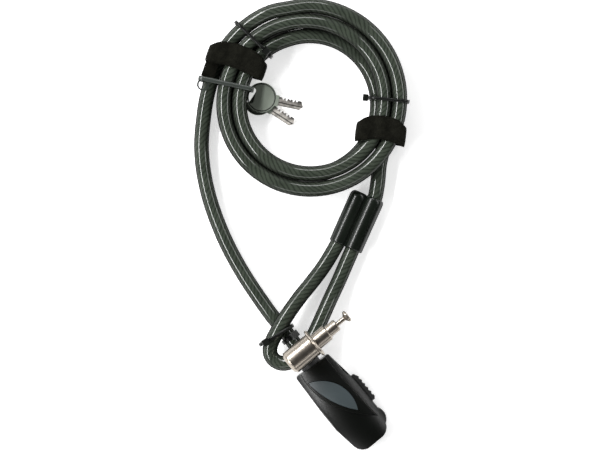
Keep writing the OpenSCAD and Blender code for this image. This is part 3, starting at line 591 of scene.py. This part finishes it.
# From a head's side to the middle of its tail, and how far lower that is than the head's
TAIL_OUT, TAIL_DOWN = 0.8, 0.4
# Underside of a head at the side of the bundle
SIDE_HEAD_Z = 14
# Small loop at the outer end of the key tie: radius, place along the cable, depth
LOOP_R, LOOP_ALONG, LOOP_DOWN = 4.8, 4.6, 6
LOOP_SIDES = 40


def band_axes(band):
    """A band's origin and its directions: outwards from the centre, and along the cable."""
    a = math.radians(band.angle)
    out = Vector((math.cos(a), math.sin(a), 0))
    along = Vector((-out.y, out.x, 0))
    return Vector((*band.centre, 0)) + along * band.offset, out, along


def band_loop(band, r, grow, bumps):
    """A band's closed loop in its own plane, as [(x, z)], with its corners rounded by r.

    grow moves it outwards; bumps, as (x, width, depth), sag its top between turns.
    """
    x0, x1, r = band.start - grow, band.end + grow, r + grow
    z0, z1 = BAND_LOW - grow, BAND_TOP + grow
    corners = ((x1 - r, z1 - r, 0), (x0 + r, z1 - r, 90),
               (x0 + r, z0 + r, 180), (x1 - r, z0 + r, 270))
    arcs = [[(cx + r * math.cos(a), cz + r * math.sin(a))
             for a in (math.radians(first + 90 * k / 8) for k in range(9))]
            for cx, cz, first in corners]
    loop = []
    for arc, next_arc in zip(arcs, arcs[1:] + arcs[:1]):
        on_top = not loop
        loop += arc
        (ax, az), (bx, bz) = arc[-1], next_arc[0]
        parts = max(2, round(math.dist(arc[-1], next_arc[0]) / BAND_STEP))
        for f in (k / parts for k in range(1, parts)):
            x, z = ax + (bx - ax) * f, az + (bz - az) * f
            if on_top:
                for middle, wide, deep in bumps:
                    z -= deep * math.exp(-((x - middle) / wide) ** 2)
            loop.append((x, z))
    return loop


def resample_closed(loop, n):
    """The closed loop as n points at even steps."""
    dense = [Vector((x, z, 0)) for x, z in loop + loop[:1]]
    return [(p.x, p.y) for p in even(dense, path_length(dense) / n)[:-1]]


def wrap(name, band, thick, width, mat, node, r=5, cross=9, bumps=(), soft_edge=0.0,
         ragged=0.0, seed=0.0, bow=0.0, taper=0.0):
    """A band with thickness round its bundle: band_loop swept over the band's width.

    cross is the number of points over the width. soft_edge thins the band's edges, ragged
    makes them uneven, bow bends the band along the cable and taper narrows its ends.
    """
    origin, out, along = band_axes(band)
    inner, outer = (band_loop(band, r, grow, bumps) for grow in (0.0, thick))
    n = min(len(inner), len(outer))
    inner, outer = resample_closed(inner, n), resample_closed(outer, n)
    across = [k / (cross - 1) * 2 - 1 for k in range(cross)]
    bm = bmesh.new()
    rows = []
    for at_outer, at_inner in zip(outer, inner):
        row = []
        for (x, z), line in ((at_outer, across), (at_inner, across[::-1])):
            off_middle = (2 * x - band.start - band.end) / (band.end - band.start)
            for f in line:
                y = (f * width / 2 * (1 - taper * min(abs(off_middle), 1) ** 6)
                     + bow * (0.5 - off_middle ** 2))
                thin = soft_edge * abs(f) ** 4 / thick
                p = (origin + out * (x + (at_inner[0] - x) * thin) + along * y
                     + Z * (z + (at_inner[1] - z) * thin))
                stray = ragged * abs(f) * noise.noise(p * 0.22 + Vector((seed, 0, 0)))
                row.append(bm.verts.new((p + along * stray) * MM))
        rows.append(row)
    join_rows(bm, rows, closed=True)
    bmesh.ops.recalc_face_normals(bm, faces=bm.faces)
    add_piece(name, bm, mat, [node])


def on_band(band, place):
    """The point at a place of a band: outwards, along the cable and up."""
    origin, out, along = band_axes(band)
    return origin + out * place[0] + along * place[1] + Z * place[2]


def block(name, size, band, place, mat, bevel=0.0, nodes=()):
    """A block at a place of a band, in line with it, with its edges bevelled where asked."""
    _, out, along = band_axes(band)
    middle = on_band(band, place)
    bm = bmesh.new()
    bmesh.ops.create_cube(bm, size=1.0)
    for v in bm.verts:
        x, y, z = (part * length for part, length in zip(v.co, size))
        v.co = (middle + out * x + along * y + Z * z) * MM
    if bevel:
        bmesh.ops.bevel(bm, geom=list(bm.edges), offset=bevel * MM, segments=2, affect="EDGES",
                        profile=0.6)
    add_piece(name, bm, mat, nodes, smooth=False)


def tie(name, band, node, mat, width=TIE_W, r=5):
    wrap(name, band, TIE_T, width, mat, node, r=r, cross=3)


def top_head(name, band):
    """The tie's head on top of the bundle, with its cut tail."""
    out_by = band.start + HEAD_IN
    up_by = BAND_TOP + TIE_T - HEAD_SINK + HEAD[2] / 2
    block(name, HEAD, band, (out_by, 0, up_by), tie_nylon, HEAD_BEVEL)
    tail_out = out_by + HEAD[0] / 2 + TAIL_OUT
    block(name + "_tail", TAIL, band, (tail_out, 0, up_by - TAIL_DOWN), tie_nylon,
          TAIL_BEVEL)


def side_head(name, band):
    """The tie's head at the inner side of the bundle, standing on end."""
    out_by = band.start - TIE_T + HEAD_SINK - HEAD[2] / 2
    block(name, HEAD[::-1], band, (out_by, 0, SIDE_HEAD_Z + HEAD[0] / 2), tie_nylon,
          HEAD_BEVEL)


def key_loop():
    """The small loop at the outer end of the key tie: a ring of the tie's own strip."""
    middle = on_band(KEY_TIE, (KEY_TIE.end + TIE_T - LOOP_R, LOOP_ALONG, BAND_TOP - LOOP_DOWN))
    inner_r = LOOP_R - TIE_T
    section = [(inner_r, 0), (LOOP_R, 0), (LOOP_R, KEY_TIE_W), (inner_r, KEY_TIE_W)]
    return turned_ring(middle, section, LOOP_SIDES)


webbing = strap_material("hook_and_loop", (0.0052, 0.0052, 0.0038))
tie_nylon = plastic("tie_nylon", (0.005, 0.006, 0.005), (0.009, 0.010, 0.009), 0.30, 0.1, 700,
                    spec=0.25)
smoke_nylon = plastic("smoke_nylon", (0.022, 0.027, 0.023), (0.036, 0.044, 0.038), 0.34, 0.1,
                      700, coat=0.3)

wrap("strap_left", LEFT_STRAP, STRAP_T, STRAP_W, webbing, "left_strap",
     bumps=((58.5, 3, 1.3), (71.5, 3, 1.3)), soft_edge=0.5, ragged=0.35, seed=3.0,
     bow=-4.0, taper=0.32)
wrap("strap_right", RIGHT_STRAP, STRAP_T, STRAP_W, webbing, "right_strap",
     bumps=((55, 3, 1.0), (67.5, 3, 1.0)), soft_edge=0.5, ragged=0.35, seed=8.0,
     bow=4.5, taper=0.2)
block("strap_flap", FLAP, LEFT_STRAP, FLAP_AT, webbing, nodes=["left_strap"])

tie("tie_top", TOP_TIE, "top_tie", tie_nylon)
top_head("tie_top_head", TOP_TIE)
tie("tie_right", RIGHT_TIE, "right_tie", tie_nylon)
side_head("tie_right_head", RIGHT_TIE)
tie("tie_crossing", CROSSING_TIE, "crossing_tie", tie_nylon)
top_head("tie_crossing_head", CROSSING_TIE)
tie("tie_keys", KEY_TIE, "key_tie", smoke_nylon, width=KEY_TIE_W, r=2)
add_piece("tie_keys_loop", key_loop(), smoke_nylon, smooth=False)

# ---------------------------------------------------------------- finishes of the CAD nodes

housing = plastic("housing_black", (0.0016, 0.0020, 0.0015), (0.0028, 0.0034, 0.0026), 0.31,
                  0.03, 1100, wear=0.01, spec=0.36)
inlay = plastic("inlay_blue_grey", (0.038, 0.050, 0.054), (0.050, 0.064, 0.069), 0.40,
                0.25, 1600, wear=0.02)
cover_black = plastic("cover_black", (0.006, 0.006, 0.006), (0.012, 0.012, 0.012), 0.42,
                      0.2, 900)
collar_black = plastic("collar_black", (0.008, 0.008, 0.008), (0.016, 0.016, 0.016), 0.55,
                       0.3, 800)
sleeve_black = plastic("sleeve_gloss", (0.003, 0.005, 0.003), (0.008, 0.011, 0.008), 0.24,
                       0.05, 500, coat=0.9, spec=0.0)
nickel = metal("nickel", (0.39, 0.35, 0.30), 0.31, grain=0.0)
front_nickel = key_metal("front_key_nickel", (0.95, 0.90, 0.83), 0.42, FRONT_KEY_A)
rear_nickel = key_metal("rear_key_nickel", (0.95, 0.90, 0.83), 0.42, REAR_KEY_A)
steel = metal("steel", (0.58, 0.58, 0.57), 0.32)
dark_steel = metal("dark_steel", (0.09, 0.09, 0.09), 0.45)
brass = metal("brass", (0.78, 0.60, 0.30), 0.28, 0.2)
zinc = metal("zinc_casting", (0.46, 0.46, 0.45), 0.48)
crimp = metal("crimp_alloy", (0.68, 0.68, 0.69), 0.38)
bow_grey = plastic("bow_grey", (0.185, 0.210, 0.174), (0.215, 0.245, 0.203), 0.45, 0.35, 1200)
# Near black: painted shade round the bows' edges
bow_rim_painted_shade = plastic("bow_rim_painted_shade", (0.020, 0.024, 0.019), (0.030, 0.036, 0.028), 0.40, 0.2, 1200)

for mat, *nodes in (
    (housing, "front_shell", "rear_shell"),
    (inlay, "grip_inlay"),
    (cover_black, "keyway_cover"),
    (collar_black, "cable_collar"),
    (nickel, "pin_barrel", "pin_flange", "locking_bolt"),
    (front_nickel, "front_key_blade"),
    (rear_nickel, "rear_key_blade"),
    (bow_grey, "front_key_bow", "rear_key_bow"),
    (steel, "socket_bush", "housing_screws", "anchor_pin", "cylinder_clip", "latch_slide",
     "latch_spring"),
    (dark_steel, "rail_plate"),
    (brass, "key_cylinder", "wafers"),
    (zinc, "lock_core", "cylinder_cam"),
    (crimp, "cable_ferrule", "crimp_ferrule"),
    (tie_nylon, "lead_tie"),
):
    for node in nodes:
        for material_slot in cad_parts[node].material_slots:
            material_slot.link = "OBJECT"
            material_slot.material = mat

# ---------------------------------------------------------------- sleeve and bow rims

# The sleeve's barrels: side, how far raised, radius, and the lower and the upper end's
# rounding, along and inwards
BARRELS = ((1, 0.3, 7.9, (1.6, 1.2), (4.0, 1.5)),
           (-1, 0.0, 7.3, (1.4, 1.1), (4.5, 3.6)))
BARREL_SIDES = 48
# Raised rim on a key's bow, coloured near black as painted shade along the bow's edge: its
# radius, half its width and its height
RIM_R, RIM_HALF, RIM_H = 10.8, 0.45, 0.35
RIM_SIDES = 72
# The rims' heights, on the front and the rear key
FRONT_RIM_Z, REAR_RIM_Z = 7.7, 4.6


def rounded_profile(radius, low_end, high_end):
    """(x, r) points of a barrel from end to end, with its ends rounded off."""
    def end(along, inwards):
        turns = (math.radians(90 * k / 8) for k in range(9))
        return [(SLEEVE_HALF - along * (1 - math.sin(b)), radius - inwards * (1 - math.cos(b)))
                for b in turns]
    return [(-x, r) for x, r in reversed(end(*low_end))] + end(*high_end)


def barrels():
    """The sleeve: two barrels side by side, with their ends rounded off."""
    bm = bmesh.new()
    for side, raised, radius, low_end, high_end in BARRELS:
        middle = SLEEVE_C + side * barrel_shift + Z * raised
        rings = [[bm.verts.new(p * MM) for p in circle(
            middle + SLEEVE_DIR * x, r, SLEEVE_RIGHT, Z, BARREL_SIDES)]
            for x, r in rounded_profile(radius, low_end, high_end)]
        join_rows(bm, rings)
        bm.faces.new(rings[0])
        bm.faces.new(rings[-1])
    bmesh.ops.recalc_face_normals(bm, faces=bm.faces)
    return bm


def bow_rim(turn, rim_z):
    """The raised rim round the bow of a key that points turn degrees from X."""
    a = math.radians(turn)
    middle = KEY_PIVOT + Vector((BOW_ALONG * math.cos(a) + KEY_ASIDE * math.sin(a),
                                 BOW_ALONG * math.sin(a) - KEY_ASIDE * math.cos(a), rim_z))
    section = [(RIM_R + RIM_HALF * math.cos(b), RIM_H * math.sin(b))
               for b in (math.radians(45 * k) for k in range(8))]
    return turned_ring(middle, section, RIM_SIDES)


add_piece("sleeve_barrels", barrels(), sleeve_black, ["eye_sleeve"])
add_piece("front_bow_rim", bow_rim(FRONT_KEY_A, FRONT_RIM_Z), bow_rim_painted_shade,
          body="front_key")
add_piece("rear_bow_rim", bow_rim(REAR_KEY_A, REAR_RIM_Z), bow_rim_painted_shade, body="rear_key")

# ---------------------------------------------------------------- floor

FLOOR_HALF = 4.0
# Just under the part, so that the two never share a plane
FLOOR_Z = -0.0002

bm = bmesh.new()
bmesh.ops.create_grid(bm, x_segments=1, y_segments=1, size=FLOOR_HALF)
floor = new_object("floor", bm, floor_material(), smooth=False)
floor.location = (CENTRE.x, CENTRE.y, FLOOR_Z)
